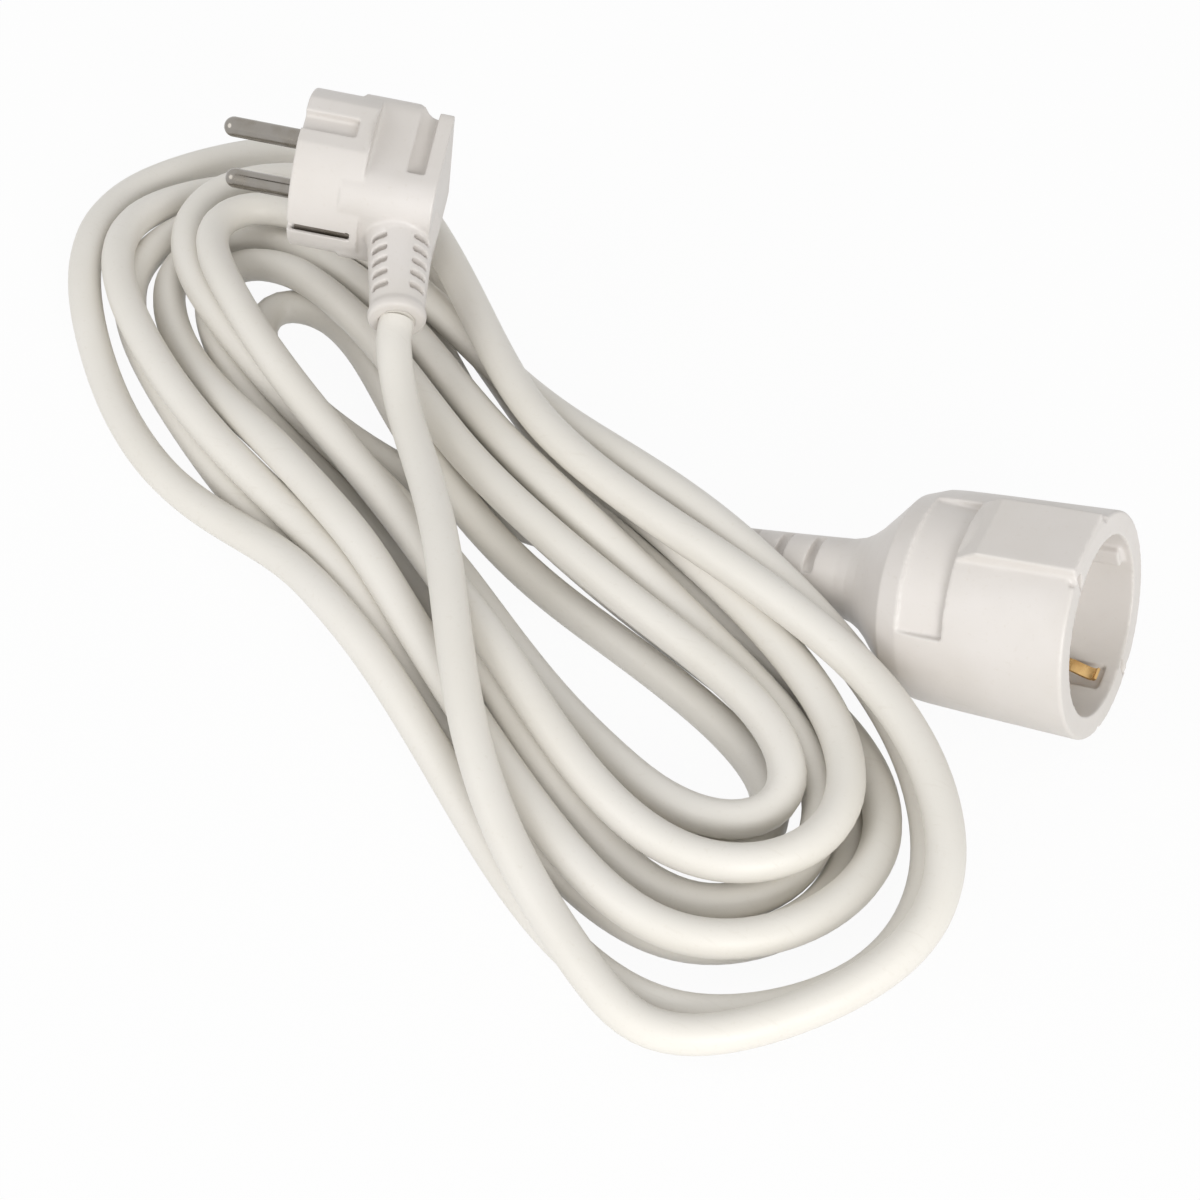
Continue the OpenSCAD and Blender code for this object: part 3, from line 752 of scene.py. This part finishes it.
def plastic(name, colour, rough, grain=0.06, wave=0.5, drift=(0.93, 0.925, 0.905), scale=40.0):
    """Moulded plastic: drifting tone, specks, scuffs and a fine grain."""
    tree, shader, coords = new_material(name)
    mottle = placed_group(tree, "soft_mottle", coords, Scale=scale)
    scuffs = placed_group(tree, "handling_scuffs", coords)
    grains = placed_group(tree, "mould_grain", coords, Wave=wave)
    tone = mixed(tree, mottle["Tone"], colour, shade(colour, drift))
    tone = mixed(tree, ranged(tree, mottle["Speck"], 0.0, 0.35), tone, shade(colour, (0.90, 0.88, 0.84)))
    tone = mixed(tree, ranged(tree, scuffs["Scuff"], 0.0, 0.3), tone, shade(colour, (0.86, 0.84, 0.80)))
    tree.links.new(tone, shader["Base Color"])
    tree.links.new(ranged(tree, mottle["Tone"], rough, rough + 0.08), shader["Roughness"])
    tree.links.new(raised(tree, grains["Height"], grain, 0.0002), shader["Normal"])
    shader["IOR"].default_value = 1.5


def metal(name, colour, rough, stain, turn):
    """Drawn or pressed metal with lines along it and a light stain."""
    tree, shader, coords = new_material(name)
    along = stretched(tree, coords, rotation=[math.radians(a) for a in turn])
    drawn = placed_group(tree, "drawn_lines", along)
    tone = mixed(tree, drawn["Stain"], colour, shade(colour, stain))
    tree.links.new(tone, shader["Base Color"])
    tree.links.new(ranged(tree, drawn["Stain"], rough, rough + 0.14), shader["Roughness"])
    tree.links.new(raised(tree, drawn["Lines"], 0.12, 0.0001), shader["Normal"])
    shader["Metallic"].default_value = 1.0


# ---------------------------------------------------------------- operators

class EXTCORD_OT_materials(bpy.types.Operator):
    """Make the finishes of the cord, the housings and the contacts"""
    bl_idname = "extcord.materials"
    bl_label = "Finishes"

    def execute(self, context):
        for make in (mottle_group, grain_group, scuff_group, drawn_group):
            make()
        scene = context.scene
        cord, socket, plug = scene.cord_settings, scene.socket_settings, scene.plug_settings
        plastic("sheath_pvc", tuple(cord.colour), 0.42, grain=0.10, wave=1.5, scale=24.0,
                drift=(0.955, 0.95, 0.93))
        plastic("housing_moulding", tuple(socket.colour), 0.38, grain=0.05)
        plastic("insert_moulding", tuple(socket.insert_colour), 0.5, grain=0.10)
        plastic("core_brown", (0.13, 0.055, 0.022), 0.45, grain=0.08)
        plastic("core_blue", (0.02, 0.09, 0.40), 0.45, grain=0.08)
        plastic("core_green", (0.10, 0.30, 0.05), 0.45, grain=0.08)
        metal("pressed_brass", tuple(socket.brass_colour), 0.26, (0.72, 0.62, 0.5), (0, TILT, 0))
        metal("plated_pin", tuple(plug.pin_colour), 0.16, (0.86, 0.84, 0.8),
              (0, -PLUG_TURN[1], -PLUG_TURN[2]))
        return {"FINISHED"}


# Socket, in millimetres along its axis from the cord end
RECESS_LEN = 17.5
RECESS_R = 19.4
SHOULDER = 50.6
PLATE_TURN = -6


def socket_outline(mouth, rim):
    """Outline of the neck, the shoulder and the barrel, as along and radius."""
    neck = [(0, 0), (0, 6.3), (0.5, 6.8), (6, 7.1), (18, 7.9), (26, 8.5), (NECK_LEN, 8.8)]
    shoulder = [(33, 9.6), (35.5, 11), (38, 13.1), (42, 17.3), (45.6, 21.2), (SHOULDER, 22.95)]
    barrel = [(54, 23.25), (62, 23.6), (82, 24.3), (mouth - 0.5, rim), (mouth, rim - 0.3), (mouth, 0)]
    return neck + shoulder + barrel


def socket_plate(mouth):
    """Flat raised plate on top of the barrel, with a ramp at its start."""
    outline = ((61, 15), (61, 22.2), (66, 24.9), (mouth - 0.3, 25.1), (mouth - 0.3, 15))
    return moved(prism(outline, 17), turned(PLATE_TURN, 0, 0))


def socket_bores(mouth):
    """Recess, seat of the insert, chamber, throat and bore of the cord."""
    return [bar(mouth - RECESS_LEN, mouth + 5, RECESS_R, sides=128),
            bar(53.85, mouth - RECESS_LEN + 0.1, 20.95, sides=128),
            bar(43, 54, 13.6), bar(36, 43.2, 7), bar(-2, 36.2, 4.0)]


def grip_cutter():
    """What the finger grip takes off one side of the shoulder."""
    bm = bmesh.new()
    outline = [(50.8, 22.45), (50.8, 28), (61.2, 28), (61.2, 21.5), (51.4, 22.3)]
    face = bm.faces.new([bm.verts.new((x, 0, r)) for x, r in outline])
    bmesh.ops.rotate(bm, verts=bm.verts, cent=(0, 0, 0), matrix=Matrix.Rotation(math.radians(-28), 3, "X"))
    bmesh.ops.spin(bm, geom=[face] + face.edges[:] + face.verts[:], cent=(0, 0, 0),
                   axis=(1, 0, 0), angle=math.radians(86), steps=40, use_merge=False)
    bmesh.ops.remove_doubles(bm, verts=bm.verts, dist=1e-4)
    bmesh.ops.recalc_face_normals(bm, faces=bm.faces)
    return bm


def socket_side_cuts(mouth, side):
    """Finger grip, spring's groove, rim nicks and neck slots of one side."""
    to_side = turned(side, 0, 0)
    cuts = [moved(grip_cutter(), to_side),
            moved(block((SHOULDER, -3.15, 10), (mouth - 3, 3.15, 20.4)), to_side)]
    # Nicks in the rim beside the flats, left by the mould
    for y, z in ((-9.6, 22.6), (9.6, 22.6), (-7.2, 19.4)):
        nick = block((mouth - 1.6, y - 0.8, z - 0.9), (mouth + 2, y + 0.8, z + 3.2))
        cuts.append(moved(nick, turned(side + PLATE_TURN, 0, 0)))
    for k in range(3):
        slot = block((6 + 8 * k, -5, 5.0 + 0.4 * k), (8.2 + 8 * k, 5, 12))
        cuts.append(moved(slot, to_side))
    return cuts


def guide_rib(mouth, side):
    """Guide rib in the recess, beside the pin holes."""
    rib = block((mouth - RECESS_LEN - 0.1, 17.4, -2.3), (mouth - 2.2, 20.2, 2.3), 0.3)
    return moved(rib, turned(side, 0, 0))


class EXTCORD_OT_socket(bpy.types.Operator):
    """Build the socket's housing with its neck, grips, plate, guides and slots"""
    bl_idname = "extcord.socket"
    bl_label = "Socket Housing"

    def execute(self, context):
        settings = context.scene.socket_settings
        mouth, rim = settings.length / MM, settings.rim_radius / MM
        cuts = socket_bores(mouth) + socket_side_cuts(mouth, 0) + socket_side_cuts(mouth, 180)
        ribs = [guide_rib(mouth, 0), guide_rib(mouth, 180)]
        shell = carved("socket_housing", spun(socket_outline(mouth, rim), 128),
                       [socket_plate(mouth)], cuts, ribs)
        moulded(shell, 0.4, 0.5, 2)
        placed(shell, IN_SOCKET)
        finished(shell, "housing_moulding", "housing", "connector_body", "connector_strain_relief")
        return {"FINISHED"}


def spring_half(x):
    """Half the width of the earth spring, which narrows towards its free ends."""
    return 3.0 - 1.5 * clamp((x - 71) / 6)


def earth_spring():
    """Sprung strip from one free end, round the back of the insert, to the other."""
    tongue = [(84.6, 18.3), (83.9, 19.0), (82.6, 19.0), (80.8, 18.2), (78.9, 17.2), (77.2, 16.9),
              (75.4, 17.4), (73.4, 18.6), (71.8, 19.5), (70.0, 19.8), (64, 19.8), (54.0, 19.8),
              (52.9, 19.2), (52.8, 18)]
    route = tongue + [(x, -z) for x, z in reversed(tongue)]
    bm = bmesh.new()
    verts = [bm.verts.new((x, -spring_half(x), z)) for x, z in route]
    edges = [bm.edges.new(pair) for pair in zip(verts, verts[1:])]
    wide = bmesh.ops.extrude_edge_only(bm, edges=edges)
    for vert in wide["geom"]:
        if isinstance(vert, bmesh.types.BMVert):
            vert.co.y = spring_half(vert.co.x)
    bmesh.ops.recalc_face_normals(bm, faces=bm.faces)
    bmesh.ops.solidify(bm, geom=bm.faces[:], thickness=0.7)
    bmesh.ops.recalc_face_normals(bm, faces=bm.faces)
    spring = mesh_object("earth_spring", bm)
    rounding = spring.modifiers.new("Edges", "BEVEL")
    rounding.width = 0.16
    rounding.segments = 2
    rounding.angle_limit = math.radians(50)
    return baked(spring)


class EXTCORD_OT_socket_inside(bpy.types.Operator):
    """Bend the earth spring of the socket and dress the insert, contacts and cores"""
    bl_idname = "extcord.socket_inside"
    bl_label = "Socket Inside"

    def execute(self, context):
        spring = earth_spring()
        crimp = carved("earth_crimp", bar(46, 53, 1.9, sides=32), cuts=[bar(45, 51, 1.35, sides=32)])
        both = bmesh.new()
        both.from_mesh(spring.data)
        both.from_mesh(crimp.data)
        both.to_mesh(spring.data)
        both.free()
        bpy.data.meshes.remove(crimp.data)
        placed(spring, IN_SOCKET)
        spring.data.set_sharp_from_angle(angle=math.radians(40))
        finished(spring, "pressed_brass", "contact", "connector_earth_bracket")
        dress("insert_moulding", "connector_insert")
        dress("pressed_brass", "line_contact", "neutral_contact")
        dress("core_brown", "connector_line_core")
        dress("core_blue", "connector_neutral_core")
        dress("core_green", "connector_earth_core")
        dress("sheath_pvc", "connector_cord_end")
        return {"FINISHED"}


# Plug, in millimetres behind its face
DISC_DEPTH = 17
FLANGE = 3.6
PIN_PITCH = 19


def plug_disc(face):
    """Round front of the plug."""
    return spun([(-DISC_DEPTH, 0), (-DISC_DEPTH, face), (-0.4, face), (0, face - 0.4), (0, 0)], 128)


def flange_cuts(back):
    """Step before the flange, its hollow root and the two thumb grooves."""
    flange = back + FLANGE
    cuts = [block((back - 1, -20, 12.2), (flange + 0.02, 20, 30)),
            rod(5.4, 60, Matrix.Translation((flange, 0, 17.6)) @ turned(90, 0, 0))]
    for side in (1, -1):
        groove = rod(4.5, 40, Matrix.Translation((flange + 0.1, side * 16.1, 12.5)))
        bmesh.ops.bisect_plane(groove, geom=groove.verts[:] + groove.edges[:] + groove.faces[:],
                               plane_co=(flange, 0, 0), plane_no=(-1, 0, 0), clear_outer=True)
        bmesh.ops.holes_fill(groove, edges=[e for e in groove.edges if e.is_boundary], sides=0)
        bmesh.ops.recalc_face_normals(groove, faces=groove.faces)
        cuts.append(groove)
    return cuts


def guide_cuts(side):
    """Flat, guide groove and seat of the earth strip, on one side of the front."""
    shapes = [block((-16.9, 17.5, -30), (3, 30, 30)),
              block((-13, 15.4, -2.7), (3, 30, 2.7)),
              block((-15.1, -1.4, 16.7), (3, 1.4, 30)),
              block((-15.1, -3.45, 16.7), (-0.9, 3.45, 17.75))]
    return [moved(shape, turned(side, 0, 0)) for shape in shapes]


def plug_bores():
    """Two chambers for the pin carrier and the cores, the pin holes and the cord's bore."""
    chambers = [bar(-13.15, -3.85, 13.55), bar(-25, -13, 12.6)]
    holes = [bar(-5, 3, 3.05, at=(y, 0), sides=32) for y in (-PIN_PITCH / 2, PIN_PITCH / 2)]
    return chambers + holes + [rod(4.0, 70, TO_EXIT @ Matrix.Translation((0, 0, -10)))]


def boot():
    """Strain relief with a rolled end."""
    outline = [(-2, 0), (-2, 8.0), (0, 7.85), (8, 7.3), (16, 6.75), (20.6, 6.45), (21.4, 6.75),
               (22.2, 6.95), (23.4, 6.8), (BOOT_LEN, 6.3), (BOOT_LEN, 0)]
    return moved(spun(outline, 96), TO_EXIT @ turned(0, 90, 0))


def boot_slots():
    """Four rows of five slots in the strain relief."""
    slots = []
    for k in range(5):
        for angle in (45, 135, 225, 315):
            slot = block((3.0 + 3.4 * k, -2.4, 5.2 - 0.15 * k), (4.5 + 3.4 * k, 2.4, 10))
            slots.append(moved(slot, TO_EXIT @ turned(0, 90, 0) @ turned(angle, 0, 0)))
    return slots


class EXTCORD_OT_plug(bpy.types.Operator):
    """Build the plug's housing with its finger grips, guides and strain relief"""
    bl_idname = "extcord.plug"
    bl_label = "Plug Housing"

    def execute(self, context):
        settings = context.scene.plug_settings
        face, back = settings.face_radius / MM, -settings.depth / MM
        backing = block((back, -14.6, -17.4), (-12, 14.6, 17.6), 8.0, 12, lengthwise=True)
        root = rod(7.85, 8, TO_EXIT @ Matrix.Translation((0, 0, 2)), 9.4)
        cuts = flange_cuts(back) + guide_cuts(0) + guide_cuts(180) + plug_bores() + boot_slots()
        shell = carved("plug_housing", plug_disc(face), [backing, root, boot()], cuts)
        moulded(shell, 0.36, 0.5, 3)
        placed(shell, IN_PLUG)
        finished(shell, "housing_moulding", "housing", "plug_body", "plug_strain_relief")
        dress("insert_moulding", "plug_bridge")
        dress("plated_pin", "line_pin", "neutral_pin", "plug_earth_strap")
        dress("core_brown", "plug_line_core")
        dress("core_blue", "plug_neutral_core")
        dress("core_green", "plug_earth_core")
        dress("sheath_pvc", "plug_cord_end")
        return {"FINISHED"}


class EXTCORD_OT_cord(bpy.types.Operator):
    """Lay the cord in its hank, from the socket to the plug"""
    bl_idname = "extcord.cord"
    bl_label = "Cord"

    def execute(self, context):
        settings = context.scene.cord_settings
        laid = spaced(SOCKET_TAIL[:-1] + let_out(hank_path())[:-1] + PLUG_TAIL, LAID_STEP)
        laid = settled(laid)
        points = spaced(laid, DRAWN_STEP) * MM
        curve = bpy.data.curves.new("cord", "CURVE")
        curve.dimensions = "3D"
        curve.bevel_depth = settings.diameter / 2
        curve.bevel_resolution = 6
        curve.use_fill_caps = True
        spline = curve.splines.new("POLY")
        spline.points.add(len(points) - 1)
        spline.points.foreach_set("co", np.column_stack([points, np.ones(len(points))]).ravel())
        spline.use_smooth = True
        cord = bpy.data.objects.new("cord", curve)
        context.scene.collection.objects.link(cord)
        finished(cord, "sheath_pvc", "sheath", "cord_tail_connector", "cord_coil", "cord_tail_plug")
        return {"FINISHED"}


# Stage, in metres
STAGE_MIDDLE = Vector((-0.07, -0.015, 0.02))
KEY_SPOT = (0.95, -1.15, 0.55)
KEY_SIZE = 0.9
FILL_SPOT = (-0.9, -1.0, 0.8)
FILL_SIZE = 1.2
CAMERA_SPOT = Vector((0.1347, -0.4152, 0.4497))
CAMERA_AIM = Vector((-0.0694, -0.0145, 0))
LENS = 84.27
FLOOR_SIZE = 4.0
# How much of the floor's own look gives way to white where it is seen straight
FLOOR_WHITE = 0.94


def backdrop_rays(tree):
    """One where a camera, mirror or glass ray looks straight at the backdrop."""
    path = tree.nodes.new("ShaderNodeLightPath").outputs
    rays = path["Is Camera Ray"]
    for other in ("Is Glossy Ray", "Is Transmission Ray"):
        rays = combined(tree, "ADD", rays, path[other])
        rays.node.use_clamp = True
    return rays


def floor_paper():
    """Pale matt floor that keeps shadows and is seen nearly white."""
    material = bpy.data.materials.new("floor_paper")
    material.use_nodes = True
    tree = material.node_tree
    shader = tree.nodes["Principled BSDF"]
    shader.inputs["Base Color"].default_value = (0.86, 0.86, 0.85, 1)
    shader.inputs["Roughness"].default_value = 0.9
    shader.inputs["Specular IOR Level"].default_value = 0.1
    white = tree.nodes.new("ShaderNodeEmission")
    white.inputs["Color"].default_value = (1, 1, 1, 1)
    share = combined(tree, "MULTIPLY", backdrop_rays(tree))
    share.node.inputs[1].default_value = FLOOR_WHITE
    mix = tree.nodes.new("ShaderNodeMixShader")
    tree.links.new(share, mix.inputs["Fac"])
    tree.links.new(shader.outputs["BSDF"], mix.inputs[1])
    tree.links.new(white.outputs["Emission"], mix.inputs[2])
    tree.links.new(mix.outputs["Shader"], tree.nodes["Material Output"].inputs["Surface"])
    return material


def set_room(context, level):
    """White light from all around at a level, and plain white where it is seen."""
    world = bpy.data.worlds.new("room")
    context.scene.world = world
    world.use_nodes = True
    tree = world.node_tree
    light, seen = tree.nodes["Background"], tree.nodes.new("ShaderNodeBackground")
    for node, strength in ((light, level), (seen, 1.0)):
        node.inputs["Color"].default_value = (1, 1, 1, 1)
        node.inputs["Strength"].default_value = strength
    mix = tree.nodes.new("ShaderNodeMixShader")
    tree.links.new(backdrop_rays(tree), mix.inputs["Fac"])
    tree.links.new(light.outputs["Background"], mix.inputs[1])
    tree.links.new(seen.outputs["Background"], mix.inputs[2])
    tree.links.new(mix.outputs["Shader"], tree.nodes["World Output"].inputs["Surface"])


def aimed(context, name, data, spot, aim):
    """Lamp or camera at a spot, looking at a point."""
    holder = bpy.data.objects.new(name, data)
    holder.location = spot
    holder.rotation_euler = (aim - Vector(spot)).to_track_quat("-Z", "Y").to_euler()
    context.scene.collection.objects.link(holder)
    return holder


class EXTCORD_OT_stage(bpy.types.Operator):
    """Set the floor, the lamps, the room light and the camera"""
    bl_idname = "extcord.stage"
    bl_label = "Stage"

    def execute(self, context):
        settings = context.scene.stage_settings
        bm = bmesh.new()
        bmesh.ops.create_grid(bm, x_segments=1, y_segments=1, size=FLOOR_SIZE)
        floor = mesh_object("floor", bm)
        floor.data.materials.append(floor_paper())
        for name, spot, power, size in (("key_lamp", KEY_SPOT, settings.key_power, KEY_SIZE),
                                        ("fill_lamp", FILL_SPOT, settings.fill_power, FILL_SIZE)):
            light = bpy.data.lights.new(name, "AREA")
            light.shape = "DISK"
            light.size = size
            light.energy = power
            aimed(context, name, light, spot, STAGE_MIDDLE)
        set_room(context, settings.room_level)
        camera = bpy.data.cameras.new("camera")
        camera.lens = LENS
        camera.sensor_width = 36
        camera.clip_start = 0.01
        context.scene.camera = aimed(context, "camera", camera, CAMERA_SPOT, CAMERA_AIM)
        context.scene.view_settings.view_transform = "Standard"
        return {"FINISHED"}


class EXTCORD_PT_panel(bpy.types.Panel):
    """Sizes, colours and build steps of the extension cord"""
    bl_idname = "EXTCORD_PT_panel"
    bl_label = "Extension Cord"
    bl_space_type = "VIEW_3D"
    bl_region_type = "UI"
    bl_category = "Extension Cord"

    def draw(self, context):
        for name, kind in SETTINGS.items():
            box = self.layout.box()
            for setting in kind.__annotations__:
                box.prop(getattr(context.scene, name), setting)
        for step in STEPS:
            self.layout.operator(step.bl_idname)


SETTINGS = {"cord_settings": CordSettings, "socket_settings": SocketSettings,
            "plug_settings": PlugSettings, "stage_settings": StageSettings}
STEPS = (EXTCORD_OT_materials, EXTCORD_OT_socket, EXTCORD_OT_socket_inside,
         EXTCORD_OT_plug, EXTCORD_OT_cord, EXTCORD_OT_stage)


def register():
    for kind in (*SETTINGS.values(), *STEPS, EXTCORD_PT_panel):
        bpy.utils.register_class(kind)
    for name, kind in SETTINGS.items():
        setattr(bpy.types.Scene, name, bpy.props.PointerProperty(type=kind))


def unregister():
    for name in SETTINGS:
        delattr(bpy.types.Scene, name)
    for kind in reversed((*SETTINGS.values(), *STEPS, EXTCORD_PT_panel)):
        bpy.utils.unregister_class(kind)


def main():
    register()
    for build in (bpy.ops.extcord.materials, bpy.ops.extcord.socket, bpy.ops.extcord.socket_inside,
                  bpy.ops.extcord.plug, bpy.ops.extcord.cord, bpy.ops.extcord.stage):
        build()


if __name__ == "__main__":
    main()
